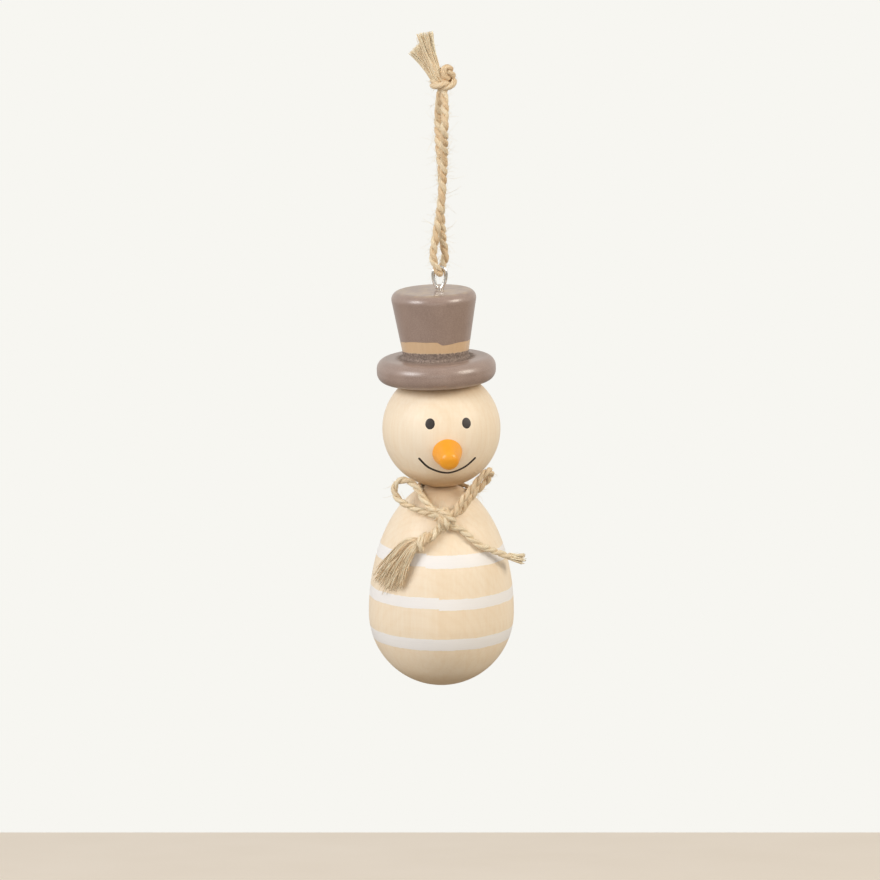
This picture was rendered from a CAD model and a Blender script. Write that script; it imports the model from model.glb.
import math
import random

import bpy
import numpy as np
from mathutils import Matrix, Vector


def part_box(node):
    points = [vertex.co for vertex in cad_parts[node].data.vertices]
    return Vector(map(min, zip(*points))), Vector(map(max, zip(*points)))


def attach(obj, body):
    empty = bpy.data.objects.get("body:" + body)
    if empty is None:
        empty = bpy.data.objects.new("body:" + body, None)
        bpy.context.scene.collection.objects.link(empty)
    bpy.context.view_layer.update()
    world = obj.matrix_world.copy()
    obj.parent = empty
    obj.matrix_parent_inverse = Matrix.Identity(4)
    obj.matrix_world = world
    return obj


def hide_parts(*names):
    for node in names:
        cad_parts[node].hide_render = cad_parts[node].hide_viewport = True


# Looks of the hanging snowman: painted and bare turned wood, a wire eye and jute twine.
# The turned pieces and the wire keep the frame's own meshes and get materials here. The two twines
# are built here ply by ply, with their knots, frayed ends and loose fibres, in millimetres.

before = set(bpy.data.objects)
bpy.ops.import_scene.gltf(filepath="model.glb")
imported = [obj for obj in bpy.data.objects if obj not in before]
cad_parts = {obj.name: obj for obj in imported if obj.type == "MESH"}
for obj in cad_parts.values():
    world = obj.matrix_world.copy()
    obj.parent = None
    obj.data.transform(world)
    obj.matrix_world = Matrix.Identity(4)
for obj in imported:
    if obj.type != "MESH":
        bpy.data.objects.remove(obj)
bpy.context.view_layer.update()

MM = 0.001


# Places taken from the frame, in millimetres


def corners(node):
    """Lowest and highest corner of a frame node."""
    low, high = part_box(node)
    return np.array(low) / MM, np.array(high) / MM


egg_low, egg_high = corners("egg_body")
head_low, head_high = corners("head_ball")
eye_low, eye_high = corners("screw_eye")

EGG_FOOT = egg_low[2]
EGG_RADIUS = (egg_high[0] - egg_low[0]) / 2
EGG_BELLY = 20.2  # height of the widest place over the foot
EGG_RISE = 36.0  # height of the half oval above it
HEAD_RADIUS = (head_high[1] - head_low[1]) / 2
HEAD_CENTRE = np.array([0.0, 0.0, head_high[2] - HEAD_RADIUS])
WIRE = 0.53  # radius of the screw eye's wire


def unit(vector):
    return vector / np.linalg.norm(vector)


def unit_rows(vectors):
    return vectors / np.linalg.norm(vectors, axis=1)[:, None]


def travelled(line):
    """Distance along a line up to each of its points."""
    return np.concatenate([[0], np.cumsum(np.linalg.norm(np.diff(line, axis=0), axis=1))])


def on_egg(turn, height, lift):
    """A point at an angle round the egg from the front and a height over its foot, lifted off the wood."""
    rise = (height - EGG_BELLY) / EGG_RISE
    radius = EGG_RADIUS * math.sqrt(1 - rise * rise)
    normal = np.array([radius / EGG_RADIUS ** 2, rise / EGG_RISE])
    radius, height = np.array([radius, height]) + lift * normal / np.linalg.norm(normal)
    angle = math.radians(turn - 90)
    return np.array([radius * math.cos(angle), radius * math.sin(angle), height + EGG_FOOT])


def on_head(turn, rise, lift):
    """A point at an angle round the head from the front and an angle above its middle."""
    turn, rise = math.radians(turn), math.radians(rise)
    outwards = np.array([math.sin(turn) * math.cos(rise), -math.cos(turn) * math.cos(rise), math.sin(rise)])
    return HEAD_CENTRE + outwards * (HEAD_RADIUS + lift)


# Shader helpers


class Look:
    """A node material, with short calls for the nodes used here."""

    def __init__(self, name):
        self.material = bpy.data.materials.new(name)
        self.material.use_nodes = True
        tree = self.material.node_tree
        self.nodes = tree.nodes
        self.links = tree.links
        self.surface = self.nodes["Principled BSDF"]
        coordinates = self.nodes.new("ShaderNodeTexCoord")
        self.place = self.vector("SCALE", coordinates.outputs["Object"], scale=1 / MM)
        self.normal = coordinates.outputs["Normal"]

    def feed(self, socket, value):
        if isinstance(value, bpy.types.NodeSocket):
            self.links.new(value, socket)
        else:
            socket.default_value = value

    def vector(self, operation, first, second=None, scale=None):
        node = self.nodes.new("ShaderNodeVectorMath")
        node.operation = operation
        self.feed(node.inputs[0], first)
        if second is not None:
            self.feed(node.inputs[1], second)
        if scale is not None:
            self.feed(node.inputs["Scale"], scale)
        return node.outputs["Value" if operation in ("DOT_PRODUCT", "LENGTH") else "Vector"]

    def math(self, operation, *values):
        node = self.nodes.new("ShaderNodeMath")
        node.operation = operation
        for socket, value in zip(node.inputs, values):
            self.feed(socket, value)
        return node.outputs[0]

    def step(self, value, start, end):
        """0 before start, 1 after end, smooth in between; start may be above end."""
        node = self.nodes.new("ShaderNodeMapRange")
        node.interpolation_type = "SMOOTHSTEP"
        for name, entry in (("Value", value), ("From Min", start), ("From Max", end)):
            self.feed(node.inputs[name], entry)
        return node.outputs["Result"]

    def noise(self, stretch, scale, detail=3.0, roughness=0.55, vector=None):
        """Noise over the place in millimetres, squeezed along each axis by the stretch factors."""
        node = self.nodes.new("ShaderNodeTexNoise")
        place = self.place if vector is None else vector
        self.feed(node.inputs["Vector"], self.vector("MULTIPLY", place, stretch))
        self.feed(node.inputs["Scale"], scale)
        self.feed(node.inputs["Detail"], detail)
        self.feed(node.inputs["Roughness"], roughness)
        return node.outputs["Fac"]

    def waver(self, noise, amount):
        """A noise moved to lie about zero, times an amount."""
        return self.math("MULTIPLY", self.math("SUBTRACT", noise, 0.5), amount)

    def mix(self, factor, first, second):
        node = self.nodes.new("ShaderNodeMix")
        node.data_type = "RGBA"
        self.feed(node.inputs[0], factor)
        self.feed(node.inputs[6], first)
        self.feed(node.inputs[7], second)
        return node.outputs[2]

    def bump(self, height, strength, distance):
        node = self.nodes.new("ShaderNodeBump")
        self.feed(node.inputs["Height"], height)
        self.feed(node.inputs["Strength"], strength)
        self.feed(node.inputs["Distance"], distance * MM)
        return node.outputs["Normal"]

    def split(self, vector):
        node = self.nodes.new("ShaderNodeSeparateXYZ")
        self.feed(node.inputs[0], vector)
        return node.outputs

    def attribute(self, name, output="Fac"):
        node = self.nodes.new("ShaderNodeAttribute")
        node.attribute_name = name
        return node.outputs[output]

    def finish(self, colour, roughness, normal=None, **others):
        self.feed(self.surface.inputs["Base Color"], colour)
        self.feed(self.surface.inputs["Roughness"], roughness)
        if normal is not None:
            self.feed(self.surface.inputs["Normal"], normal)
        for name, value in others.items():
            self.feed(self.surface.inputs[name.replace("_", " ")], value)
        return self.material


def colour(red, green, blue):
    """A linear colour from the usual 0 to 255 screen values."""
    return (*[screen_to_linear(value / 255) for value in (red, green, blue)], 1.0)


def screen_to_linear(value):
    return value / 12.92 if value <= 0.04045 else ((value + 0.055) / 1.055) ** 2.4


WOOD_PALE, WOOD_DEEP = colour(254, 238, 214), colour(246, 223, 191)
DOWEL_PALE, DOWEL_DEEP = colour(232, 204, 160), colour(208, 174, 128)
STRIPE_DULL, STRIPE_BRIGHT = colour(247, 244, 242), colour(254, 252, 251)
HAT_DEEP, HAT_PALE = colour(143, 121, 111), colour(171, 148, 136)
ROUGH_DEEP, ROUGH_PALE = colour(112, 96, 88), colour(168, 149, 136)
BAND_PALE, BAND_DEEP = colour(227, 194, 156), colour(215, 181, 143)
HAT_WORN = colour(196, 172, 138)
NOSE_DEEP, NOSE_PALE = colour(250, 158, 26), colour(255, 180, 52)
FACE_DEEP, FACE_PALE = colour(34, 27, 25), colour(58, 49, 45)
WIRE_DULL, WIRE_BRIGHT = colour(226, 224, 221), colour(240, 239, 236)
JUTE_DEEP, JUTE_PALE = colour(208, 160, 102), colour(255, 248, 222)
FLOOR_DULL, FLOOR_BRIGHT = colour(241, 230, 215), colour(249, 239, 226)
FLOOR_BOUNCE = (0.35, 0.31, 0.26, 1.0)  # what the floor sends back to the figure
WALL = colour(247, 246, 241)


# Wood


RING_WIDTH = 2.3
RING_WANDER = 9.0
RING_SHARE, BROAD_SHARE, STREAK_SHARE, PORE_SHARE, LATHE_SHARE = 0.07, 0.60, 0.45, 0.08, 0.16


def wood_grain(look, pith, pale, deep):
    """Base colour and relief of pale close-grained wood whose fibres run upwards.

    Growth rings are shells round a leaning pith line beside the piece. Pores are short upright streaks,
    and fine lathe lines run round the piece.
    """
    x, y, z = look.split(look.place)
    wander = look.noise((0.05, 0.05, 0.015), 1.0, detail=2.0)
    across = look.math("ADD", look.math("MULTIPLY", x, 0.35), y)
    leaning = look.math("ADD", across, look.math("MULTIPLY", z, pith))
    ring_place = look.math("ADD", leaning, look.math("MULTIPLY", wander, RING_WANDER))
    rings = look.math("SINE", look.math("MULTIPLY", ring_place, 2 * math.pi / RING_WIDTH))
    rings = look.math("POWER", look.math("MULTIPLY_ADD", rings, 0.5, 0.5), 3.0)
    broad = look.noise((0.11, 0.11, 0.012), 1.0, detail=3.0)
    streaks = look.noise((1.3, 1.3, 0.05), 1.0, detail=4.0, roughness=0.6)
    pores = look.step(look.noise((3.4, 3.4, 0.22), 1.0, detail=2.0), 0.62, 0.74)
    lathe = look.noise((0.02, 0.02, 2.6), 1.0, detail=4.0, roughness=0.7)
    amount = look.math("MULTIPLY", rings, RING_SHARE)
    amount = look.math("MULTIPLY_ADD", broad, BROAD_SHARE, amount)
    amount = look.math("MULTIPLY_ADD", streaks, STREAK_SHARE, amount)
    amount = look.math("MULTIPLY_ADD", pores, PORE_SHARE, amount)
    amount = look.math("MULTIPLY_ADD", lathe, LATHE_SHARE, amount)
    tone = look.mix(look.step(amount, 0.34, 0.96), pale, deep)
    relief = look.math("MULTIPLY_ADD", streaks, 0.6, look.math("MULTIPLY", lathe, 0.6))
    relief = look.math("MULTIPLY_ADD", pores, -0.5, relief)
    return tone, relief


def end_grain(look, tone, start, end, tint):
    """Darkens wood where its surface cuts across the fibres, near the upper and lower pole."""
    steep = look.math("ABSOLUTE", look.split(look.normal)[2])
    return look.mix(look.step(steep, start, end), tone, look.vector("MULTIPLY", tone, tint))


def bare_wood(name, pith, pale, deep):
    look = Look(name)
    tone, relief = wood_grain(look, pith, pale, deep)
    tone = end_grain(look, tone, 0.58, 0.86, (0.68, 0.58, 0.46))
    roughness = look.math("MULTIPLY_ADD", relief, 0.10, 0.46)
    return look.finish(tone, roughness, look.bump(relief, 0.25, 0.03), Coat_Weight=0.06, Coat_Roughness=0.4)


# Each stripe's lower and upper height over the egg's foot, and the angle at which its brush stopped
STRIPES = [(36.25, 39.6, -14.0), (25.1, 28.1, -2.0), (13.6, 16.9, 170.0)]
STRIPE_DRIFT = 0.22
STRIPE_BLUR = 0.06


def striped_wood(name, pith, pale, deep):
    """Wood with white stripes brushed round it."""
    look = Look(name)
    tone, relief = wood_grain(look, pith, pale, deep)
    tone = end_grain(look, tone, 0.64, 0.86, (0.82, 0.76, 0.68))
    x, y, z = look.split(look.place)
    height = look.math("SUBTRACT", z, float(EGG_FOOT))
    paint = None
    for low, high, seam in STRIPES:
        turned = turned_from(look, x, y, seam)
        drift = look.math("MULTIPLY", turned, STRIPE_DRIFT)
        wobble = look.waver(look.noise((0.1, 0.1, 0.02), 1.0, 2.0), 0.8)
        ragged = look.waver(look.noise((1.1, 1.1, 0.3), 1.0, 3.0), 0.35)
        level = look.math("ADD", look.math("ADD", height, drift), look.math("ADD", wobble, ragged))
        bottom = look.step(level, low - STRIPE_BLUR, low + STRIPE_BLUR)
        top = look.step(level, high + STRIPE_BLUR, high - STRIPE_BLUR)
        stripe = look.math("MULTIPLY", bottom, top)
        paint = stripe if paint is None else look.math("MAXIMUM", paint, stripe)
    brushed = look.noise((0.12, 0.12, 2.2), 1.0, detail=3.0)
    white = look.mix(brushed, STRIPE_DULL, STRIPE_BRIGHT)
    thin = look.math("MULTIPLY", paint, look.step(brushed, 0.12, 0.3))
    tone = look.mix(look.math("MULTIPLY", thin, 0.97), tone, white)
    body = look.math("MULTIPLY_ADD", paint, 1.6, look.math("MULTIPLY", relief, 0.8))
    body = look.math("MULTIPLY_ADD", look.math("MULTIPLY", brushed, paint), 0.5, body)
    roughness = look.math("MULTIPLY_ADD", paint, -0.05, 0.5)
    return look.finish(tone, roughness, look.bump(body, 0.3, 0.03), Coat_Weight=0.06, Coat_Roughness=0.4)


def turned_from(look, x, y, seam):
    """-1 to 1 once round the upright axis, with the jump at an angle from the front."""
    cosine, sine = math.cos(math.radians(seam)), math.sin(math.radians(seam))
    aside = look.math("ADD", look.math("MULTIPLY", x, cosine), look.math("MULTIPLY", y, sine))
    away = look.math("SUBTRACT", look.math("MULTIPLY", y, cosine), look.math("MULTIPLY", x, sine))
    return look.math("DIVIDE", look.math("ARCTAN2", aside, away), math.pi)


# Paint


# Heights over the egg's foot of the bare band on the crown, and the valley round the crown's foot
BAND_FOOT, BAND_TOP = 93.4, 96.5
VALLEY_AXIS, VALLEY_RADIUS = -1.5, 10.0
SATIN = 0.26
SATIN_SPECULAR = 0.95
ROUGH_RELIEF = 5.0


def speckled_paint(look, deep, pale):
    """Tone and relief of a satin coat sprayed over wood: fine speckle and a soft unevenness."""
    speckle = look.noise((1.0, 1.0, 1.0), 5.5, detail=4.0, roughness=0.7)
    cloud = look.noise((0.22, 0.22, 0.12), 1.0, detail=3.0)
    amount = look.math("MULTIPLY_ADD", speckle, 0.85, look.math("MULTIPLY", cloud, 0.15))
    tone = look.mix(look.step(amount, 0.36, 0.64), deep, pale)
    relief = look.math("MULTIPLY_ADD", cloud, 0.8, look.math("MULTIPLY", speckle, 0.2))
    return tone, relief


def rough_coat(look):
    """Tone and relief of the dark, uneven paint left in the valley between crown and brim."""
    lumps = look.noise((1.2, 1.2, 1.2), 1.6, detail=4.0, roughness=0.7)
    return look.mix(look.step(lumps, 0.35, 0.7), ROUGH_DEEP, ROUGH_PALE), lumps


def brim_paint():
    """Satin paint, with the rough coat round the crown's foot."""
    look = Look("brim_paint")
    tone, relief = speckled_paint(look, HAT_DEEP, HAT_PALE)
    x, y, _ = look.split(look.place)
    aside = look.math("SUBTRACT", x, VALLEY_AXIS)
    radius = look.math("SQRT", look.math("ADD", look.math("POWER", aside, 2.0), look.math("POWER", y, 2.0)))
    dark, lumps = rough_coat(look)
    ragged = look.math("MULTIPLY_ADD", lumps, 1.6, radius)
    near = look.step(ragged, VALLEY_RADIUS + 2.2, VALLEY_RADIUS + 0.7)
    tone = look.mix(near, tone, dark)
    body = look.math("MULTIPLY_ADD", look.math("MULTIPLY", lumps, near), ROUGH_RELIEF, relief)
    roughness = look.math("MULTIPLY_ADD", near, 0.35, look.math("MULTIPLY_ADD", relief, 0.12, SATIN))
    return look.finish(tone, roughness, look.bump(body, 0.35, 0.05), Specular_IOR_Level=SATIN_SPECULAR)


def crown_paint():
    """The crown's coat, which stops at a wavy edge over a bare band with rough dark paint under it."""
    look = Look("crown_paint")
    tone, relief = speckled_paint(look, HAT_DEEP, HAT_PALE)
    x, y, z = look.split(look.place)
    height = look.math("SUBTRACT", z, float(EGG_FOOT))
    tilt = look.math("MULTIPLY", look.math("SUBTRACT", x, -1.2), -0.02)
    level = look.math("ADD", height, tilt)
    rearward = look.math("MINIMUM", look.math("MULTIPLY_ADD", y, 0.12, 1.0), 1.0)
    wave = look.waver(look.noise((0.22, 0.22, 0.02), 1.0, 1.0), 0.9)
    dip = look.math("MULTIPLY", look.step(x, -1.4, 0.4), -0.78)
    mend = look.math("MULTIPLY", look.step(x, 0.4, 8.0), 0.85)
    edge = look.math("SUBTRACT", look.math("ADD", level, wave), look.math("ADD", dip, mend))
    edge = look.math("MULTIPLY_ADD", rearward, 1.05, edge)
    above = look.step(edge, BAND_TOP - 0.07, BAND_TOP + 0.07)
    dark, rough_noise = rough_coat(look)
    smear = look.math("MULTIPLY_ADD", rearward, 0.5, level)
    smear = look.math("MULTIPLY_ADD", rough_noise, 0.9, smear)
    below = look.step(smear, BAND_FOOT + 0.62, BAND_FOOT + 0.30)
    grain = look.noise((1.2, 1.2, 0.1), 1.0, detail=3.0)
    bare = look.mix(grain, BAND_PALE, BAND_DEEP)
    worn = look.noise((0.35, 0.35, 0.35), 1.0, detail=4.0, roughness=0.6)
    facing_up = look.step(look.split(look.normal)[2], 0.75, 0.98)
    worn = look.math("MULTIPLY", look.step(worn, 0.35, 0.7), facing_up)
    tone = look.mix(look.math("MULTIPLY", worn, 0.6), tone, HAT_WORN)
    tone = look.mix(above, bare, tone)
    tone = look.mix(below, tone, dark)
    relief = look.math("MULTIPLY", relief, above)
    body = look.math("MULTIPLY_ADD", above, 1.4, relief)
    body = look.math("MULTIPLY_ADD", look.math("MULTIPLY", rough_noise, below), ROUGH_RELIEF, body)
    roughness = look.math("MULTIPLY_ADD", below, 0.35, look.math("MULTIPLY_ADD", relief, 0.12, SATIN))
    return look.finish(tone, roughness, look.bump(body, 0.4, 0.05), Specular_IOR_Level=SATIN_SPECULAR)


def nose_paint():
    look = Look("nose_paint")
    cloud = look.noise((0.3, 0.3, 0.3), 1.0, detail=3.0)
    fine = look.noise((1.0, 1.0, 1.0), 4.0, detail=3.0)
    tone = look.mix(cloud, NOSE_DEEP, NOSE_PALE)
    relief = look.math("MULTIPLY_ADD", fine, 0.25, cloud)
    roughness = look.math("MULTIPLY_ADD", fine, 0.1, 0.27)
    return look.finish(tone, roughness, look.bump(relief, 0.25, 0.05))


def face_paint():
    look = Look("face_paint")
    fine = look.noise((1.0, 1.0, 1.0), 3.0, detail=3.0)
    tone = look.mix(fine, FACE_DEEP, FACE_PALE)
    return look.finish(tone, look.math("MULTIPLY_ADD", fine, 0.2, 0.38), look.bump(fine, 0.3, 0.03))


def bright_wire():
    look = Look("bright_wire")
    drawn = look.noise((2.0, 2.0, 0.5), 2.0, detail=3.0)
    tone = look.mix(drawn, WIRE_DULL, WIRE_BRIGHT)
    roughness = look.math("MULTIPLY_ADD", drawn, 0.08, 0.06)
    return look.finish(tone, roughness, look.bump(drawn, 0.15, 0.02), Metallic=1.0)


def jute():
    """Pale straw fibres, darker in the grooves, laid along the mesh's own fibre coordinates."""
    look = Look("jute")
    fibre = look.attribute("fibre", "Vector")
    ridge = look.attribute("ridge")
    tint = look.attribute("tint")
    fine = look.noise((1.0, 1.0, 0.10), 9.0, detail=4.0, roughness=0.65, vector=fibre)
    patch = look.noise((0.6, 0.6, 0.5), 1.0, detail=2.0)
    amount = look.math("MULTIPLY_ADD", fine, 1.0, look.math("MULTIPLY", ridge, 0.8))
    amount = look.math("MULTIPLY_ADD", tint, 0.35, amount)
    amount = look.math("MULTIPLY_ADD", patch, 0.30, amount)
    tone = look.mix(look.step(amount, 0.5, 1.65), JUTE_DEEP, JUTE_PALE)
    relief = look.math("MULTIPLY_ADD", fine, 0.8, ridge)
    return look.finish(
        tone,
        look.math("MULTIPLY_ADD", fine, -0.2, 0.72),
        look.bump(relief, 0.5, 0.06),
        Sheen_Weight=0.25,
        Sheen_Roughness=0.4,
    )


# Mesh gathering


class Strands:
    """Collects tubes into one mesh, with fibre coordinates, groove depth and tint for the jute material."""

    def __init__(self):
        self.points = []
        self.faces = []
        self.fibre = []
        self.ridge = []
        self.tint = []
        self.count = 0

    def tube(self, rings, fibre, ridge, tint):
        """A closed tube through rings of points: an array of ring, point round the ring, coordinate."""
        stations, sides = rings.shape[:2]
        index = self.count + np.arange(stations * sides).reshape(stations, sides)
        onward = np.roll(index, -1, axis=1)
        quads = np.stack([index[:-1], onward[:-1], onward[1:], index[1:]], axis=-1).reshape(-1, 4)
        self.faces.extend(quads.tolist())
        self.points.append(rings.reshape(-1, 3))
        self.fibre.append(fibre.reshape(-1, 3))
        self.ridge.append(ridge.reshape(-1))
        self.tint.append(np.full(stations * sides, tint))
        self.count += stations * sides
        self.cap(rings[0].mean(axis=0), index[0][::-1], fibre[0, 0], tint)
        self.cap(rings[-1].mean(axis=0), index[-1], fibre[-1, 0], tint)

    def cap(self, middle, ring, fibre, tint):
        """Closes one end with a fan of triangles round a middle point."""
        self.points.append(middle[None])
        self.fibre.append(fibre[None])
        self.ridge.append(np.array([0.5]))
        self.tint.append(np.array([tint]))
        following = np.roll(ring, -1)
        self.faces.extend([[int(a), int(b), self.count] for a, b in zip(ring, following)])
        self.count += 1

    def build(self, name, material):
        mesh = bpy.data.meshes.new(name)
        mesh.from_pydata((np.vstack(self.points) * MM).tolist(), [], self.faces)
        for label, kind, field, values in (
            ("fibre", "FLOAT_VECTOR", "vector", np.vstack(self.fibre)),
            ("ridge", "FLOAT", "value", np.concatenate(self.ridge)),
            ("tint", "FLOAT", "value", np.concatenate(self.tint)),
        ):
            layer = mesh.attributes.new(label, kind, "POINT")
            layer.data.foreach_set(field, values.astype(np.float32).ravel())
        mesh.shade_smooth()
        mesh.materials.append(material)
        item = bpy.data.objects.new(name, mesh)
        bpy.context.scene.collection.objects.link(item)
        return item


def smooth_line(points, spacing):
    """Evenly spaced points on a smooth curve through the given points."""
    knots = np.array([tuple(point) for point in points], float)
    ends = np.vstack([2 * knots[0] - knots[1], knots, 2 * knots[-1] - knots[-2]])
    t = np.linspace(0, 1, 24, endpoint=False)[:, None]
    spans = [
        0.5 * (2 * b + (c - a) * t + (2 * a - 5 * b + 4 * c - d) * t ** 2 + (3 * b - a - 3 * c + d) * t ** 3)
        for a, b, c, d in zip(ends, ends[1:], ends[2:], ends[3:])
    ]
    dense = np.vstack(spans + [knots[-1:]])
    lengths = travelled(dense)
    count = max(4, round(lengths[-1] / spacing) + 1)
    even = np.linspace(0, lengths[-1], count)
    return np.column_stack([np.interp(even, lengths, dense[:, axis]) for axis in range(3)])


def cross_frame(line):
    """Unit vectors along and across a line at each of its points, carried on without twisting."""
    along = unit_rows(np.gradient(line, axis=0))
    side = np.zeros_like(line)
    side[0] = unit(np.cross(along[0], (0.31, 0.89, 0.22)))
    for index in range(1, len(line)):
        side[index] = unit(side[index - 1] - along[index] * (side[index - 1] @ along[index]))
    return along, side, np.cross(along, side)


# Twine


PLIES = 2
PLY_SIDES = 32
PLY_OFFSET, PLY_DEPTH, PLY_WIDTH = 0.47, 0.53, 0.70  # shares of the twine's radius
TWINE_SPACING = 0.24
TWIST_LENGTH = 5.4
RIDGE_HEIGHT = 0.15
FIBRE_TURN = 0.85
FIBRE_SIDES = 6
HAIR_SIDES = 4
HAIR_CURL = 0.26
SHORTEST_HAIR = 0.4
FLUFF_ROOT = 0.72  # share of the twine's radius


def slow_waves(rng, distance, length, count=3):
    """A smooth random curve along a twine, between about -1 and 1."""
    total = np.zeros_like(distance)
    for _ in range(count):
        period = length * rng.uniform(0.6, 1.6)
        total += 0.84 * np.sin(2 * math.pi * distance / period + rng.uniform(0, 7))
    return total / count ** 0.5


def twine(strands, rng, points, radius, twist_length=TWIST_LENGTH, phase=None):
    """Lays two plies of ridged fibre along a path and returns its centre line."""
    line = smooth_line(points, TWINE_SPACING)
    _, side, up = cross_frame(line)
    distance = travelled(line)
    start = rng.uniform(0, 2 * math.pi) if phase is None else phase
    turn = start - 2 * math.pi * distance / twist_length
    turn += 0.35 * slow_waves(rng, distance, 9.0)
    angles = np.linspace(0, 2 * math.pi, PLY_SIDES, endpoint=False)
    for ply in range(PLIES):
        here = turn + 2 * math.pi * ply / PLIES
        swell = 1 + 0.07 * slow_waves(rng, distance, 6.0)
        outward = side * np.cos(here)[:, None] + up * np.sin(here)[:, None]
        sideways = -side * np.sin(here)[:, None] + up * np.cos(here)[:, None]
        centre = line + outward * (PLY_OFFSET * radius)
        height, ridge = fibre_ridges(rng, distance, angles - here[:, None] * FIBRE_TURN)
        reach = (1 + RIDGE_HEIGHT * height) * swell[:, None]
        out_part = (PLY_DEPTH * radius * np.cos(angles) * reach)[..., None]
        side_part = (PLY_WIDTH * radius * np.sin(angles) * reach)[..., None]
        rings = centre[:, None] + outward[:, None] * out_part + sideways[:, None] * side_part
        fibre = np.stack(
            [
                np.cos(angles - here[:, None]) * radius,
                np.sin(angles - here[:, None]) * radius,
                np.broadcast_to(distance[:, None] + 40 * ply + start, height.shape),
            ],
            axis=-1,
        )
        strands.tube(rings, fibre, ridge, rng.uniform(-0.3, 0.5))
    return line


def fibre_ridges(rng, distance, angles):
    """Relief of the fibre bundles on a ply, and the same as 0 in a groove to 1 on a crest."""
    total = np.zeros_like(angles)
    for lobes, weight in ((4, 0.45), (7, 0.8), (11, 0.7), (15, 0.45)):
        drift = 0.9 * slow_waves(rng, distance, 5.0)[:, None]
        fade = 0.65 + 0.35 * slow_waves(rng, distance, 4.0)[:, None]
        total += weight * fade * np.sin(lobes * angles + drift + rng.uniform(0, 7))
    height = total / 1.6
    return height, np.clip(0.5 + 0.42 * height, 0, 1)


def hair(strands, rng, start, direction, length, radius, tint):
    """One tapering loose fibre that wanders as it goes."""
    pieces = max(5, int(length / 0.7))
    heading = unit(direction)
    bend = np.array([rng.gauss(0, 1) for _ in range(3)]) * HAIR_CURL
    spots = [np.array(start, float)]
    for _ in range(pieces):
        wander = np.array([rng.gauss(0, 0.5) for _ in range(3)]) * HAIR_CURL
        heading = unit(heading + (bend + wander) * length / pieces)
        spots.append(spots[-1] + heading * length / pieces)
    fibre_tube(strands, rng, np.array(spots), radius, tint, HAIR_SIDES)


def fibre_tube(strands, rng, spots, radius, tint, sides=FIBRE_SIDES):
    """A thin round fibre through the spots, thinner towards its end."""
    _, side, up = cross_frame(spots)
    share = np.linspace(0, 1, len(spots))
    thickness = radius * (1 - 0.6 * share ** 2)
    angles = np.linspace(0, 2 * math.pi, sides, endpoint=False)
    rings = (
        spots[:, None]
        + side[:, None] * (np.cos(angles) * thickness[:, None])[..., None]
        + up[:, None] * (np.sin(angles) * thickness[:, None])[..., None]
    )
    distance = travelled(spots)
    offset = rng.uniform(0, 50)
    fibre = np.stack(
        [
            np.broadcast_to(np.cos(angles) * 0.3 + offset, rings.shape[:2]),
            np.broadcast_to(np.sin(angles) * 0.3, rings.shape[:2]),
            np.broadcast_to(distance[:, None], rings.shape[:2]),
        ],
        axis=-1,
    )
    ridge = np.full(rings.shape[:2], 0.55)
    strands.tube(rings, fibre, ridge, tint)


def fluff(strands, rng, line, radius, per_mm, longest=5.0, skip=None):
    """Loose fibres standing off a twine: many short ones and a few long ones."""
    along, side, up = cross_frame(line)
    length = np.linalg.norm(np.diff(line, axis=0), axis=1).sum()
    for _ in range(int(length * per_mm)):
        index = rng.randrange(1, len(line) - 1)
        angle = rng.uniform(0, 2 * math.pi)
        outward = side[index] * math.cos(angle) + up[index] * math.sin(angle)
        lean = math.radians(rng.uniform(18, 75))
        ahead = along[index] * rng.choice((-1, 1))
        start = line[index] + outward * radius * FLUFF_ROOT
        direction = ahead * math.cos(lean) + outward * math.sin(lean)
        reach = SHORTEST_HAIR + (longest - SHORTEST_HAIR) * rng.random() ** 5
        if skip is not None and skip(start + direction * reach):
            continue
        hair(strands, rng, start, direction, reach, rng.uniform(0.018, 0.038), rng.uniform(0.2, 0.9))


def loose_end(strands, rng, points, first_width, last_width, count, depth=0.65):
    """An end that has untwisted: nearly parallel fibres that spread towards the cut."""
    line = smooth_line(points, 0.7)
    along = unit_rows(np.gradient(line, axis=0))
    across = unit_rows(np.cross(along, (0.0, 1.0, 0.0)))
    behind = np.cross(across, along)
    for number in range(count):
        share = math.sqrt((number + 0.5) / count)
        angle = rng.uniform(0, 2 * math.pi)
        last = max(3, len(line) - int(rng.random() ** 2 * len(line) * 0.22))
        travel = np.linspace(0, last / len(line), last)
        width = first_width + (last_width - first_width) * travel ** 1.4
        turn = angle + rng.gauss(0.5, 0.12) * travel
        reach = 0.5 * width * share
        spots = (
            line[:last]
            + across[:last] * (np.cos(turn) * reach)[:, None]
            + behind[:last] * (np.sin(turn) * reach * depth)[:, None]
        )
        sway = np.array([rng.gauss(0, 0.12) for _ in range(3)])
        spots += sway * np.sin(travel * rng.uniform(1, 4) + rng.uniform(0, 6))[:, None]
        fibre_tube(strands, rng, spots, rng.uniform(0.12, 0.2), tint=rng.uniform(-0.1, 0.9))


# Hanging loop


LOOP_TWINE = 1.06
LOOP_SEED = 11
TWIG_WRAP = 5.4
BIGHT_GAP = 0.05
BIGHT = np.array(
    [(eye_low[0] + eye_high[0]) / 2 + 0.006, 0.0, eye_high[2] - 2 * WIRE - BIGHT_GAP - LOOP_TWINE]
)


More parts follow.
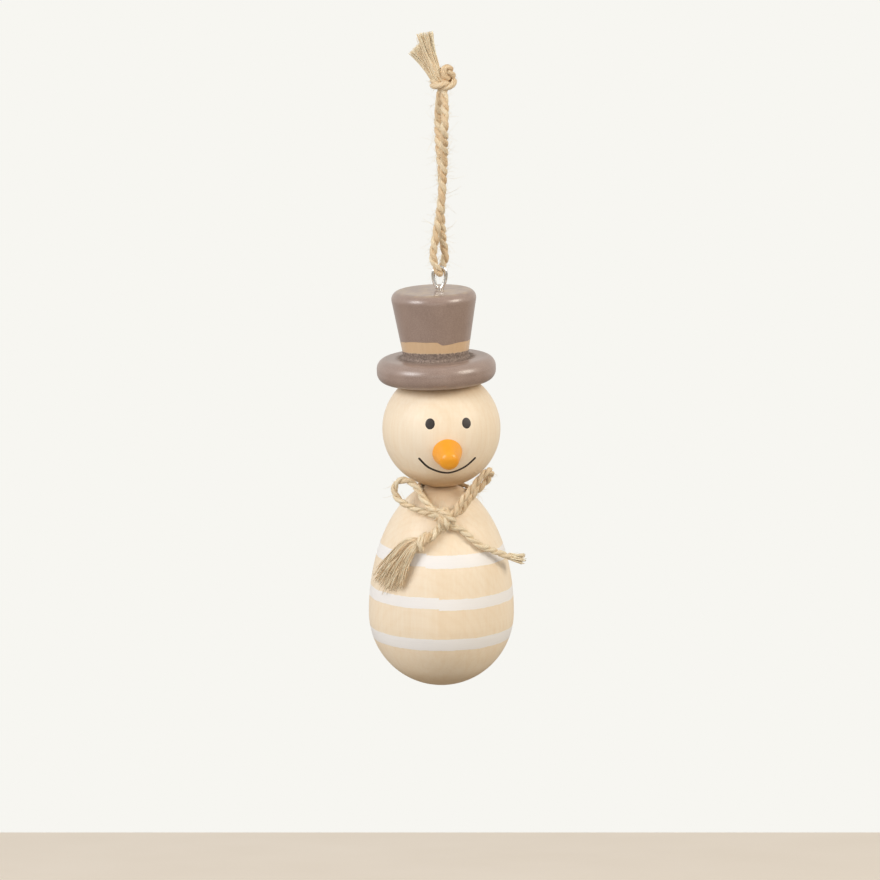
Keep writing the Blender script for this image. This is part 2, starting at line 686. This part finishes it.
def loop_legs():
    """The twine's way from the knot down in front of the twig, through the eye and up behind the twig."""
    front = [
        (0.6, -0.9, 11.6), (0.7, -1.2, 8.4), (0.9, -3.6, 4.4), (0.85, -TWIG_WRAP, 0.0), (0.8, -3.8, -4.4),
        (0.7, -1.9, -9.0), (0.55, -1.2, -13.0), (0.2, -1.1, -18.5), (-0.65, -1.1, -25.0),
        (-1.7, -1.3, -31.4), BIGHT + (-1.75, -1.75, 4.6), BIGHT + (-0.9, -1.75, 2.0),
        BIGHT + (-0.2, -1.05, 0.4),
    ]
    back = [
        BIGHT + (0.2, 1.05, 0.4), BIGHT + (0.9, 1.75, 2.0), BIGHT + (1.5, 1.6, 4.6), (0.35, 1.2, -31.4),
        (-0.05, 1.1, -25.0), (0.15, 1.1, -18.5), (0.0, 1.2, -13.0), (-0.4, 1.9, -9.0), (-0.8, 3.8, -4.4),
        (-0.9, TWIG_WRAP, 0.0), (-0.7, 3.6, 4.4), (-0.2, 1.2, 8.4), (0.0, 0.9, 11.6),
    ]
    return front + [BIGHT] + back


KNOT_BAND = [
    (-1.9, 1.3, 11.3), (-2.2, 0.1, 10.9), (-1.7, -1.4, 10.6), (-0.1, -2.1, 10.5), (1.6, -1.9, 10.5),
    (2.9, -0.9, 10.9), (3.0, 0.7, 11.3), (1.8, 1.9, 11.5), (-0.2, 2.0, 11.5), (-1.9, 1.3, 11.3),
]
KNOT_CROWN = [
    (1.0, 1.2, 11.8), (2.3, 1.1, 12.5), (2.6, 0.0, 13.5), (2.1, -1.0, 14.6), (1.2, -1.2, 14.9),
    (0.6, -1.2, 13.8), (0.8, -1.1, 12.6), (1.6, -0.8, 11.7),
]
KNOT_RISER = [(-1.4, 1.0, 10.9), (-1.5, 0.6, 12.4), (-0.8, 0.4, 13.8), (0.6, 0.5, 14.2)]
KNOT_CORE = [(-1.3, 0.3, 11.3), (-0.2, 0.2, 12.2), (0.8, 0.1, 12.9), (1.3, 0.1, 13.3)]
TIE_ENDS = [
    [
        (-0.3, -0.8, 11.6), (-1.3, -1.1, 13.2), (-2.3, -1.2, 16.4),
        (-3.3, -1.0, 19.4), (-4.1, -0.9, 22.3), (-4.6, -0.8, 24.6),
    ],
    [
        (-1.0, 0.3, 11.6), (-2.1, -0.2, 13.0), (-3.2, -0.4, 15.0),
        (-4.7, -0.4, 17.3), (-6.3, -0.4, 19.3), (-7.3, -0.4, 20.4),
    ],
]
KNOT_STRANDS = [(KNOT_BAND, 1.22), (KNOT_CROWN, 1.26), (KNOT_RISER, 1.15), (KNOT_CORE, 1.75)]
LOOP_FLUFF = 13.0  # loose fibres per millimetre
TIE_WIDTHS = (4.9, 4.1)
TIE_FIBRES = 170


def build_hanging_loop(material):
    rng = random.Random(LOOP_SEED)
    plies, loose = Strands(), Strands()
    line = twine(plies, rng, loop_legs(), LOOP_TWINE, phase=1.9)
    fluff(loose, rng, line, LOOP_TWINE, LOOP_FLUFF, longest=6.0)
    for path, radius in KNOT_STRANDS:
        line = twine(plies, rng, path, radius, twist_length=8.0)
        fluff(loose, rng, line, radius, LOOP_FLUFF, longest=2.4)
    for path, last_width in zip(TIE_ENDS, TIE_WIDTHS):
        line = twine(plies, rng, path[:-1], 1.0, twist_length=13.0)
        fluff(loose, rng, line, 1.5, 7.0, longest=2.8)
        loose_end(plies, rng, path, 2.4, last_width, TIE_FIBRES)
    place_twine(plies, loose, "hanging_loop", "loop", material)


def place_twine(plies, loose, node, body, material):
    """Makes the plies and the loose fibres into pieces that stand for the frame's plain solid."""
    for strands, name in ((plies, f"{node}_twine"), (loose, f"{node}_fibres")):
        item = strands.build(name, material)
        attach(item, body)
        if strands is plies:
            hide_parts(node)


# Neck cord


CORD_TWINE = 0.94
CORD_SEED = 23
NECK_TWINE = 0.7
BOW_KNOT = on_egg(3, 48.0, 2.0)
KNOT_OUT = unit(BOW_KNOT - on_egg(3, 48.0, 0.0))
KNOT_RIGHT = unit(np.cross((0, 0, 1), -KNOT_OUT))
KNOT_UP = np.cross(KNOT_OUT, KNOT_RIGHT)


def at_knot(right, up, out):
    """A point near the bow's knot, along the egg's surface and off it."""
    return BOW_KNOT + KNOT_RIGHT * right + KNOT_UP * up + KNOT_OUT * out


def foot(x, y, height):
    """A point whose height is over the egg's foot."""
    return np.array([x, y, height + EGG_FOOT])


def build_neck_cord(material):
    rng = random.Random(CORD_SEED)
    plies, loose = Strands(), Strands()
    necklace = [
        at_knot(0.8, 0.6, -0.5), on_egg(12, 50.0, 1.1), on_egg(23, 51.4, 0.85), on_egg(43, 52.6, 0.78),
        on_egg(65, 53.5, 0.74), on_egg(100, 53.9, 0.72), on_egg(140, 54.1, 0.71), on_egg(180, 54.3, 0.7),
        on_egg(-140, 54.5, 0.7), on_egg(-100, 54.7, 0.7), on_egg(-65, 54.4, 0.72), on_egg(-42, 53.6, 0.78),
        on_egg(-26, 52.4, 0.9), on_egg(-13.6, 50.8, 1.1), at_knot(-0.8, 0.6, -0.3),
    ]
    left_bow = [
        at_knot(0.9, -0.4, 0.5), at_knot(-1.2, 0.1, 0.7), foot(-5.2, -12.1, 50.8), foot(-7.8, -11.5, 51.7),
        foot(-10.3, -10.9, 52.8), foot(-12.1, -10.1, 54.4), foot(-12.7, -9.7, 56.4),
        foot(-12.0, -9.7, 58.2), foot(-10.2, -10.1, 59.0), foot(-8.2, -10.6, 58.5), foot(-6.6, -11.3, 56.9),
        foot(-5.0, -12.1, 54.4), foot(-3.2, -13.0, 52.2), at_knot(-1.2, 1.5, 0.8), at_knot(0.4, 0.2, 0.9),
    ]
    right_bow = [
        at_knot(-0.4, 0.4, 0.6), at_knot(1.2, 1.2, 0.9), foot(3.5, -13.8, 51.0), foot(5.2, -13.2, 53.6),
        foot(7.4, -12.7, 56.2), foot(9.6, -12.2, 59.0), foot(11.5, -11.5, 61.0), foot(12.8, -10.6, 61.7),
        foot(13.4, -9.4, 60.8), foot(12.6, -8.7, 59.0), foot(11.0, -8.9, 57.2), foot(9.0, -9.4, 55.3),
        foot(6.9, -10.4, 52.9), foot(5.0, -11.9, 50.7), at_knot(1.8, 0.2, 0.0), at_knot(0.2, -0.3, 0.2),
    ]
    wraps = [
        [
            at_knot(-0.9, -2.2, -0.9), at_knot(-0.9, -1.7, 0.6), at_knot(-0.7, -0.4, 1.5),
            at_knot(-0.5, 1.1, 1.4), at_knot(-0.4, 2.2, 0.4), at_knot(-0.4, 2.5, -0.9),
        ],
        [
            at_knot(0.9, -2.4, -0.9), at_knot(0.9, -1.9, 0.6), at_knot(0.8, -0.6, 1.5),
            at_knot(0.7, 0.9, 1.4), at_knot(0.8, 2.0, 0.4), at_knot(0.9, 2.3, -0.9),
        ],
        [
            at_knot(-2.8, 1.0, 0.0), at_knot(-1.9, 0.6, 1.3), at_knot(-0.4, -0.4, 2.3),
            at_knot(1.0, -1.5, 1.9), at_knot(1.9, -2.0, 0.6),
        ],
    ]
    left_end = [
        at_knot(1.2, -1.6, -0.2), at_knot(-0.6, -2.5, 0.0), on_egg(-5.5, 44.9, 1.5),
        on_egg(-11.5, 43.4, 1.5), on_egg(-18.5, 42.6, 1.5),
    ]
    left_strand = [
        at_knot(0.4, -1.2, -0.4), on_egg(-3.0, 46.6, 1.2), on_egg(-9.0, 45.0, 1.3),
        on_egg(-14.0, 44.0, 1.4), on_egg(-19.5, 43.3, 1.3),
    ]
    right_end = [
        at_knot(-0.2, -1.0, 0.0), on_egg(11.2, 46.5, 1.4), on_egg(19.4, 45.8, 1.25),
        on_egg(25.2, 44.6, 1.15), on_egg(31.1, 42.8, 1.15), on_egg(38.0, 41.1, 1.3),
        on_egg(45.8, 39.8, 1.8), on_egg(53.9, 38.3, 2.6), on_egg(60.0, 37.0, 3.6), on_egg(64.0, 36.3, 4.3),
    ]
    for path, radius, per_mm in (
        (necklace, NECK_TWINE, 4.0),
        (left_bow, CORD_TWINE, 12.0),
        (right_bow, CORD_TWINE, 12.0),
        (wraps[0], CORD_TWINE, 14.0),
        (wraps[1], CORD_TWINE, 14.0),
        (wraps[2], CORD_TWINE * 0.8, 14.0),
        (left_end, CORD_TWINE, 9.0),
        (left_strand, CORD_TWINE * 0.8, 9.0),
        (right_end, CORD_TWINE * 0.95, 9.0),
    ):
        line = twine(plies, rng, path, radius)
        fluff(loose, rng, line, radius, per_mm, longest=4.0, skip=inside_wood)
    brush = [
        on_egg(60.0, 37.0, 3.6), on_egg(64.0, 36.3, 4.3), on_egg(67.6, 35.7, 4.9), on_egg(70.8, 35.1, 5.6),
    ]
    loose_end(plies, rng, brush, 1.6, 3.3, 90, depth=0.8)
    build_end_knot(plies, loose, rng)
    build_tassel(plies, rng)
    place_twine(plies, loose, "neck_cord", "bow", material)


def inside_wood(spot):
    """Whether a point is inside the head ball or the egg."""
    if np.linalg.norm(spot - HEAD_CENTRE) < HEAD_RADIUS + 0.1:
        return True
    height = spot[2] - EGG_FOOT
    half = EGG_RISE if height > EGG_BELLY else EGG_BELLY
    rise = (height - EGG_BELLY) / half
    return abs(rise) < 1 and math.hypot(spot[0], spot[1]) < EGG_RADIUS * math.sqrt(1 - rise * rise) + 0.1


def build_end_knot(plies, loose, rng):
    """The small overhand knot that holds the tassel: two turns of twine across the end."""
    turns = [
        [
            on_egg(-11.0, 44.4, 1.0), on_egg(-13.2, 43.8, 2.5), on_egg(-15.3, 42.7, 2.9),
            on_egg(-17.2, 41.5, 2.5), on_egg(-18.6, 40.6, 1.1),
        ],
        [
            on_egg(-15.0, 44.6, 0.9), on_egg(-17.2, 43.8, 2.2), on_egg(-18.6, 42.8, 2.6),
            on_egg(-19.0, 41.6, 2.2), on_egg(-18.0, 40.7, 1.0),
        ],
    ]
    for path in turns:
        line = twine(plies, rng, path, CORD_TWINE * 0.9)
        fluff(loose, rng, line, CORD_TWINE, 5.0, longest=2.0, skip=inside_wood)


TASSEL_FIBRES = 300
TASSEL_CLUMPS = 19
TASSEL_LEFT = [(-19.0, 43.0), (-33.0, 43.0), (-50.0, 38.6), (-68.0, 32.6)]
TASSEL_RIGHT = [(-19.0, 42.2), (-21.5, 39.8), (-26.0, 35.6), (-30.0, 30.4)]
TASSEL_LIFTS = [1.5, 2.0, 1.4, 0.7]


def build_tassel(strands, rng):
    """The untwisted end: fibres in clumps that leave the knot sideways, fan out and lie down on the egg."""
    clumps = [
        (
            (number + 0.5) / TASSEL_CLUMPS + rng.uniform(-0.03, 0.03),
            rng.uniform(-0.3, 0.5),
            rng.uniform(-0.9, 0.8),
        )
        for number in range(TASSEL_CLUMPS)
    ]
    for number in range(TASSEL_FIBRES):
        share, lift, extra = clumps[number % TASSEL_CLUMPS]
        share = min(1.0, max(0.0, share + rng.gauss(0, 0.05)))
        depth = rng.random()
        spots = []
        for stage in range(4):
            along = stage / 3
            spread = 0.5 + (share - 0.5) * (0.75 + 0.25 * along)
            thickness = depth * (1.0 - 0.4 * along) + lift * along
            spots.append(fan_spot(spread, stage, thickness, (extra + rng.gauss(0, 0.4)) * along ** 3))
        spots[0] = spots[0] + np.array([rng.gauss(0, 0.3), rng.gauss(0, 0.15), rng.gauss(0, 0.3)])
        spots = smooth_line(spots, 0.9)
        keep = len(spots) - int(len(spots) * 0.34 * rng.random() ** 1.5)
        spots = spots[:keep]
        sway = np.array([rng.gauss(0, 0.24) for _ in range(3)])
        spots[1:] += sway * np.sin(np.linspace(0, rng.uniform(3, 6), len(spots) - 1))[:, None]
        fibre_tube(strands, rng, spots, rng.uniform(0.07, 0.14), tint=rng.uniform(-0.5, 0.8))


def fan_spot(share, stage, lift, extra):
    """A place in the tassel's fan: share runs from its left edge to its right, stage from root to tips."""
    left, right = np.array(TASSEL_LEFT[stage]), np.array(TASSEL_RIGHT[stage])
    turn, height = left + (right - left) * share
    droop = 4 * share * (1 - share) * 2.6 * (stage / 3) ** 2
    return on_egg(turn, height - droop - extra, TASSEL_LIFTS[stage] + lift)


# Face


EYES = [(-11.4, 15.2, 5.0, 5.55), (25.8, 15.1, 5.0, 5.5)]
SMILE = [(-24.2, -19.6), (-13.1, -31.2), (6.9, -37.5), (25.6, -31.7), (38.2, -20.6)]
SMILE_HALF_WIDTH = 0.37
SMILE_STRIPS = 12
EYE_ROWS, EYE_SPOKES = 14, 72
FILM = 0.05
MARK_DEPTH = 0.2  # how far under the wood a mark's closed back lies


def film_height(share):
    """Height of a paint film from its middle, 0, to its rim, 1, where it dips under the surface."""
    return FILM * (math.sqrt(max(0.0, 1 - share ** 6)) * 1.4 - 0.4)


def build_face(material):
    for side, eye in zip(("left", "right"), EYES):
        build_eye(f"{side}_eye_paint", eye, material)
    build_smile(material)


def build_eye(name, eye, material):
    """An oval dot of paint, wrapped on the head."""
    turn, rise, half_turn, half_rise = eye
    grid = []
    for row in range(1, EYE_ROWS + 1):
        share = row / EYE_ROWS
        for spoke in range(EYE_SPOKES):
            angle = 2 * math.pi * spoke / EYE_SPOKES
            spot_turn = turn + half_turn * share * math.cos(angle)
            spot_rise = rise + half_rise * share * math.sin(angle)
            grid.append(on_head(spot_turn, spot_rise, film_height(share)))
    faces = []
    for inner in range(0, (EYE_ROWS - 1) * EYE_SPOKES, EYE_SPOKES):
        outer = inner + EYE_SPOKES
        for spoke in range(EYE_SPOKES):
            after = (spoke + 1) % EYE_SPOKES
            faces.append([inner + spoke, outer + spoke, outer + after, inner + after])
    grid.append(on_head(turn, rise, film_height(0)))
    faces += [[spoke, (spoke + 1) % EYE_SPOKES, len(grid) - 1] for spoke in range(EYE_SPOKES)]
    grid.append(on_head(turn, rise, -MARK_DEPTH))
    rim = (EYE_ROWS - 1) * EYE_SPOKES
    faces += [[rim + (spoke + 1) % EYE_SPOKES, rim + spoke, len(grid) - 1] for spoke in range(EYE_SPOKES)]
    painted_mark(name, grid, faces, material)


def build_smile(material):
    """A line of even width with round ends, wrapped on the head."""
    angles = smooth_line([(turn, rise, 0) for turn, rise in SMILE], 0.25)
    line = np.array([on_head(turn, rise, 0) for turn, rise, _ in angles])
    distance = travelled(line)
    along = np.gradient(line, axis=0)
    grid, faces = [], []
    for spot, heading, so_far in zip(line, along, distance):
        outwards = unit(spot - HEAD_CENTRE)
        across = unit(np.cross(outwards, heading))
        near_end = min(so_far, distance[-1] - so_far, SMILE_HALF_WIDTH)
        half = SMILE_HALF_WIDTH * math.sqrt(max(0.0, 1 - (1 - near_end / SMILE_HALF_WIDTH) ** 2)) + 1e-3
        for strip in range(SMILE_STRIPS + 1):
            share = 2 * strip / SMILE_STRIPS - 1
            flat = spot + across * half * share - HEAD_CENTRE
            edge = max(abs(share), 1 - half / SMILE_HALF_WIDTH)
            grid.append(HEAD_CENTRE + unit(flat) * (HEAD_RADIUS + film_height(edge)))
        grid.append(HEAD_CENTRE + outwards * (HEAD_RADIUS - MARK_DEPTH))
    width = SMILE_STRIPS + 2
    for here in range(0, (len(line) - 1) * width, width):
        onward = here + width
        for strip in range(width):
            after = (strip + 1) % width
            faces.append([here + strip, here + after, onward + after, onward + strip])
    faces.append(list(range(width))[::-1])
    faces.append([(len(line) - 1) * width + strip for strip in range(width)])
    painted_mark("smile_paint", grid, faces, material)


HAT_FOOT = np.array([-1.27, 0.0, EGG_FOOT + 84.4])
HAT_LEAN = math.radians(-2.0)
JOINT_SEED = 5
JOINT_TURNS = 240
JOINT_WAVES = 14
JOINT_LUMP = 0.22
# Radius and height over the hat's foot; only the places in JOINT_OPEN can be seen and are lumpy
JOINT_PROFILE = [
    (10.35, 6.50), (10.2, 6.68), (9.9, 6.66), (9.6, 6.60), (9.3, 6.62), (9.05, 6.76), (8.9, 7.0), (8.86, 7.3),
    (8.72, 7.35), (8.62, 6.6), (8.6, 5.84), (9.66, 5.84),
]
JOINT_OPEN = range(1, 8)


def build_hat_joint():
    """The ring of rough paint and glue that fills the joint between the crown's foot and the brim."""
    rng = random.Random(JOINT_SEED)
    look = Look("joint_paint")
    dark, lumps = rough_coat(look)
    material = look.finish(dark, 0.65, look.bump(lumps, 0.6, 0.15))
    along = np.array([math.sin(HAT_LEAN), 0.0, math.cos(HAT_LEAN)])
    right = np.array([math.cos(HAT_LEAN), 0.0, -math.sin(HAT_LEAN)])
    turns = np.linspace(0, 2 * math.pi, JOINT_TURNS, endpoint=False)
    waves = [(rng.randint(9, 60), rng.uniform(0, 7), rng.uniform(0.3, 1.0)) for _ in range(JOINT_WAVES)]
    grid, faces = [], []
    count = len(JOINT_PROFILE)
    for index, turn in enumerate(turns):
        outward = right * math.cos(turn) + np.array([0.0, math.sin(turn), 0.0])
        for place, (radius, height) in enumerate(JOINT_PROFILE):
            wave = sum(weight * math.sin(lobes * turn + shift + place) for lobes, shift, weight in waves)
            lump = JOINT_LUMP * (wave / JOINT_WAVES) if place in JOINT_OPEN else 0.0
            grid.append(HAT_FOOT + outward * (radius + lump) + along * (height + 0.6 * lump))
        here, after = index * count, (index + 1) % len(turns) * count
        for place in range(count):
            onward = (place + 1) % count
            faces.append([here + place, after + place, after + onward, here + onward])
    painted_mark("hat_joint_paint", grid, faces, material)


def painted_mark(name, points, faces, material):
    """A closed thin film of paint that rides with the figure."""
    mesh = bpy.data.meshes.new(name)
    mesh.from_pydata((np.array(points) * MM).tolist(), [], faces)
    mesh.validate()
    mesh.shade_smooth()
    mesh.materials.append(material)
    item = bpy.data.objects.new(name, mesh)
    bpy.context.scene.collection.objects.link(item)
    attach(item, "figure")


# Materials on the frame's own pieces


def dress_frame():
    looks = {
        "egg_body": striped_wood("striped_wood", 0.5, WOOD_PALE, WOOD_DEEP),
        "head_ball": bare_wood("head_wood", -0.12, WOOD_PALE, WOOD_DEEP),
        "neck_dowel": bare_wood("neck_dowel_wood", 0.1, DOWEL_PALE, DOWEL_DEEP),
        "hat_dowel": bare_wood("hat_dowel_wood", 0.2, DOWEL_PALE, DOWEL_DEEP),
        "nose": nose_paint(),
        "hat_brim": brim_paint(),
        "hat_crown": crown_paint(),
        "screw_eye": bright_wire(),
    }
    for node, material in looks.items():
        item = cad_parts[node]
        for slot in item.material_slots:
            slot.material = material


# Stage: pale floor, pale surroundings, soft lamps and the camera


FLOOR_LEVEL = -282.6
FLOOR_BACK = 300.0
FLOOR_HALF = 3000.0
# Name, angle from the front, angle above, distance, width, power and tint
LAMPS = [
    ("left_window", -54, 27, 1.3, 0.7, 9.9, (0.99, 0.99, 0.99)),
    ("right_lamp", 64, 28, 1.3, 0.55, 8.3, (1.0, 0.93, 0.81)),
    ("front_fill", 2, -2, 1.5, 1.0, 2.4, (1.0, 0.99, 0.975)),
]
LAMP_TARGET = Vector((0, 0, -0.08))
CAMERA_PLACE = (-0.00038, -1.3321, 0.18225)
CAMERA_TILT = 11.41
CAMERA_LENS = 204.55


def build_floor():
    mesh = bpy.data.meshes.new("floor")
    left, right = -FLOOR_HALF * MM, FLOOR_HALF * MM
    near, far, level = -FLOOR_HALF * MM, FLOOR_BACK * MM, FLOOR_LEVEL * MM
    spots = [(left, near, level), (right, near, level), (right, far, level), (left, far, level)]
    mesh.from_pydata(spots, [], [[0, 1, 2, 3]])
    floor = bpy.data.objects.new("floor", mesh)
    bpy.context.scene.collection.objects.link(floor)
    look = Look("pale_floor")
    cloud = look.noise((0.02, 0.05, 0.02), 1.0, detail=3.0)
    seen = look.mix(cloud, FLOOR_DULL, FLOOR_BRIGHT)
    path = look.nodes.new("ShaderNodeLightPath")
    mesh.materials.append(look.finish(look.mix(path.outputs["Is Camera Ray"], FLOOR_BOUNCE, seen), 0.8))


def build_surroundings():
    """Pale backdrop for the camera, a bright room for reflections and a softer light that fades downwards."""
    world = bpy.data.worlds.new("pale_room")
    bpy.context.scene.world = world
    world.use_nodes = True
    nodes, links = world.node_tree.nodes, world.node_tree.links
    seen = nodes["Background"]
    seen.inputs["Color"].default_value = WALL
    direction = nodes.new("ShaderNodeTexCoord").outputs["Generated"]
    parts = nodes.new("ShaderNodeSeparateXYZ")
    links.new(direction, parts.inputs[0])

    def ramp(socket, start, end, low, high):
        node = nodes.new("ShaderNodeMapRange")
        for name, value in (("From Min", start), ("From Max", end), ("To Min", low), ("To Max", high)):
            node.inputs[name].default_value = value
        links.new(parts.outputs[socket], node.inputs["Value"])
        return node.outputs["Result"]

    def background(tint, *factors):
        node = nodes.new("ShaderNodeBackground")
        node.inputs["Color"].default_value = (*tint, 1.0)
        product = factors[0]
        for factor in factors[1:]:
            times = nodes.new("ShaderNodeMath")
            times.operation = "MULTIPLY"
            links.new(product, times.inputs[0])
            links.new(factor, times.inputs[1])
            product = times.outputs[0]
        links.new(product, node.inputs["Strength"])
        return node.outputs[0]

    light = background((1.0, 0.975, 0.94), ramp("Z", -0.5, 0.15, 0.12, 0.42))
    room = background((1.0, 0.965, 0.91), ramp("Z", -0.6, 0.0, 0.25, 0.95), ramp("Y", -0.9, 0.1, 0.35, 1.0))
    path = nodes.new("ShaderNodeLightPath")
    lit = choose(nodes, links, path.outputs["Is Glossy Ray"], light, room)
    shown = choose(nodes, links, path.outputs["Is Camera Ray"], lit, seen.outputs[0])
    links.new(shown, nodes["World Output"].inputs["Surface"])


def choose(nodes, links, factor, first, second):
    """The second shader where the factor is 1, else the first."""
    node = nodes.new("ShaderNodeMixShader")
    links.new(factor, node.inputs["Fac"])
    links.new(first, node.inputs[1])
    links.new(second, node.inputs[2])
    return node.outputs[0]


def soft_lamp(name, turn, rise, distance, width, power, tint):
    """A square lamp aimed at the figure, at an angle from the front and above."""
    turn, rise = math.radians(turn), math.radians(rise)
    away = Vector((math.sin(turn) * math.cos(rise), -math.cos(turn) * math.cos(rise), math.sin(rise)))
    lamp = bpy.data.lights.new(name, "AREA")
    lamp.shape = "SQUARE"
    lamp.size = width
    lamp.energy = power
    lamp.color = tint
    item = bpy.data.objects.new(name, lamp)
    item.location = LAMP_TARGET + away * distance
    item.rotation_euler = away.to_track_quat("Z", "Y").to_euler()
    bpy.context.scene.collection.objects.link(item)


def build_camera():
    """A long lens a little above the figure, looking slightly down."""
    data = bpy.data.cameras.new("camera")
    data.sensor_width = 36.0
    data.lens = CAMERA_LENS
    data.clip_start = 0.05
    data.clip_end = 20.0
    camera = bpy.data.objects.new("camera", data)
    camera.location = CAMERA_PLACE
    camera.rotation_euler = (math.radians(90 - CAMERA_TILT), 0, 0)
    bpy.context.scene.collection.objects.link(camera)
    bpy.context.scene.camera = camera


dress_frame()
jute_look = jute()
build_hanging_loop(jute_look)
build_neck_cord(jute_look)
build_face(face_paint())
build_hat_joint()
build_floor()
build_surroundings()
for lamp_values in LAMPS:
    soft_lamp(*lamp_values)
build_camera()
bpy.context.scene.view_settings.view_transform = "Standard"
